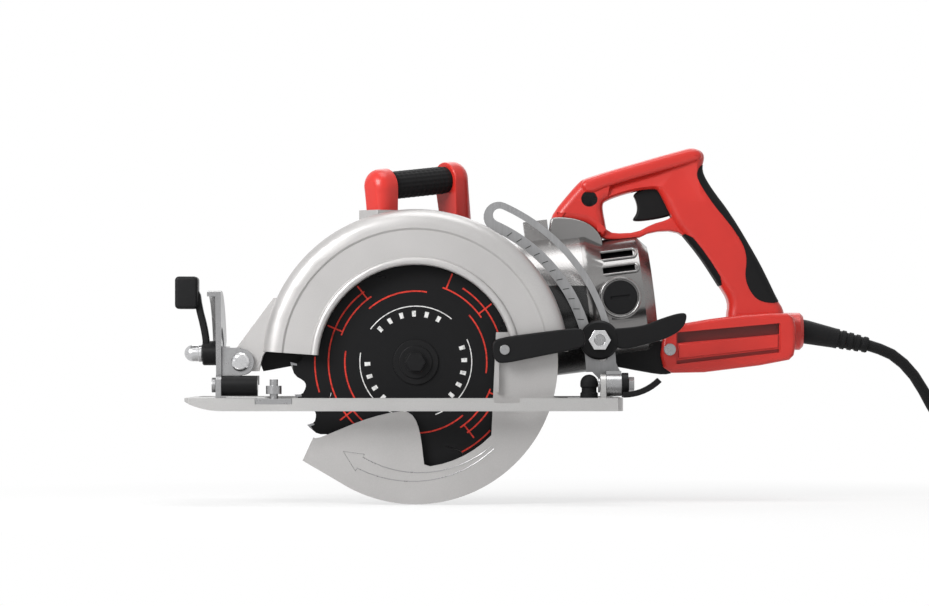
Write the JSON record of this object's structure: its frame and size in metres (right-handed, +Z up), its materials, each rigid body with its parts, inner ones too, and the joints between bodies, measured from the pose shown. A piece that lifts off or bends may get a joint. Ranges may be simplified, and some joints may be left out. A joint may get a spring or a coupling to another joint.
{
  "type": "worm drive circular saw",
  "caption": "Hand held worm drive circular saw: cast upper guard, sprung lower guard, tilting shoe with depth link, rear pistol handle, top grip and a coiled mains lead.",
  "frame": {"origin": "on the sole of the shoe, below the arbor, on the mid line of the wide pad", "axes": "+X to the rear handle, +Y away from the blade side to the motor, +Z up from the sole"},
  "size_m": [0.7086, 0.1737, 0.2645],
  "materials": {
    "cast_alloy": "satin cast",
    "guard_alloy": "fine satin",
    "shoe_alloy": "satin cast",
    "plated_steel": "zinc plated",
    "blade_coat": "matt coating",
    "red_plastic": "fine grain",
    "soft_grip": "matt",
    "black_plastic": "satin",
    "cord_rubber": "matt",
    "lamination": "bare",
    "bronze": "machined",
    "copper": "machined",
    "carbon": "matt"
  },
  "bodies": {
    "saw": {"upper_guard": "cast_alloy", "gear_housing": "cast_alloy", "gear_cover": "cast_alloy", "motor_housing": "cast_alloy", "end_bell": "cast_alloy", "brush_caps": "black_plastic", "carbon_brushes": "carbon", "stator": "lamination", "worm_bearings": "plated_steel", "armature_bearing": "plated_steel", "arbor_bearings": "plated_steel", "top_handle": "red_plastic", "top_grip": "soft_grip", "handle_left": "red_plastic", "handle_right": "red_plastic", "rear_grip": "soft_grip", "inner_grip": "soft_grip", "switch_body": "black_plastic", "handle_pivot": "black_plastic", "depth_bolt": "plated_steel", "housing_screws": "plated_steel", "guard_spring": "plated_steel", "guard_retainer": "plated_steel", "strain_relief": "cord_rubber", "cord": "cord_rubber", "cord_coil": "cord_rubber", "cord_tie": "black_plastic", "plug": "cord_rubber"},
    "tilt_frame": {"front_clevis": "plated_steel", "front_trunnion": "black_plastic", "depth_pin": "plated_steel", "bevel_stud": "plated_steel", "bevel_pins": "plated_steel", "rear_bracket": "plated_steel", "link_pin": "plated_steel"},
    "shoe_plate": {"shoe": "shoe_alloy", "bevel_quadrant": "plated_steel", "fence_clamp": "plated_steel", "bumper": "soft_grip"},
    "link": {"depth_link": "plated_steel"},
    "blade_set": {"blade": "blade_coat", "inner_flange": "plated_steel", "outer_flange": "blade_coat", "blade_bolt": "blade_coat", "arbor_shaft": "plated_steel", "worm_wheel": "bronze"},
    "rotor": {"armature_shaft": "plated_steel", "armature_core": "lamination", "commutator": "copper", "fan": "black_plastic", "worm": "plated_steel"},
    "guard": {"lower_guard": "guard_alloy", "lift_lever": "black_plastic", "lever_rivets": "plated_steel"},
    "trigger_key": {"trigger": "black_plastic"},
    "clamp_lever": {"depth_lever": "black_plastic", "depth_nut": "plated_steel"},
    "front_lever": {"front_bevel_lever": "black_plastic"},
    "rear_lever": {"rear_bevel_lever": "black_plastic"}
  },
  "joints": [
    {"name": "depth_tilt", "type": "hinge", "parent": "saw", "child": "tilt_frame", "pos_m": [-0.128, -0.076, 0.0355], "axis": [0, 1, 0], "range_deg": [0, 24]},
    {"name": "bevel_tilt", "type": "hinge", "parent": "tilt_frame", "child": "shoe_plate", "pos_m": [0, -0.086, 0.0187], "axis": [-1, 0, 0], "range_deg": [0, 50]},
    {"name": "link_swing", "type": "hinge", "parent": "tilt_frame", "child": "link", "pos_m": [0.146, -0.0543, 0.022], "axis": [0, 1, 0], "range_deg": [0, 17]},
    {"name": "blade_spin", "type": "hinge", "parent": "saw", "child": "blade_set", "pos_m": [0, -0.076, 0.0355], "axis": [0, 1, 0], "continuous": true},
    {"name": "rotor_spin", "type": "hinge", "parent": "saw", "child": "rotor", "pos_m": [0, 0.004, 0.06472], "axis": [0.9925, 0, 0.1219], "continuous": true},
    {"name": "guard_swing", "type": "hinge", "parent": "saw", "child": "guard", "pos_m": [0, -0.076, 0.0355], "axis": [0, -1, 0], "range_deg": [0, 124], "stiffness_Nm_per_rad": 0.12, "springref_deg": -91.67},
    {"name": "trigger_pull", "type": "hinge", "parent": "saw", "child": "trigger_key", "pos_m": [0.18288, 0.004, 0.17206], "axis": [0, -1, 0], "range_deg": [0, 12], "stiffness_Nm_per_rad": 0.25, "springref_deg": -20.05},
    {"name": "depth_clamp", "type": "hinge", "parent": "saw", "child": "clamp_lever", "pos_m": [0.13492, -0.062, 0.05162], "axis": [0, -1, 0], "range_deg": [0, 65]},
    {"name": "front_clamp", "type": "hinge", "parent": "tilt_frame", "child": "front_lever", "pos_m": [-0.152, -0.056, 0.042], "axis": [-1, 0, 0], "range_deg": [0, 60]},
    {"name": "rear_clamp", "type": "hinge", "parent": "tilt_frame", "child": "rear_lever", "pos_m": [0.1525, -0.086, 0.0187], "axis": [-1, 0, 0], "range_deg": [0, 60]}
  ],
  "couplings": [
    {"joint": "rotor_spin", "follows": "blade_spin", "ratio": -4.3333},
    {"joint": "link_swing", "follows": "depth_tilt", "ratio": 0.695}
  ]
}
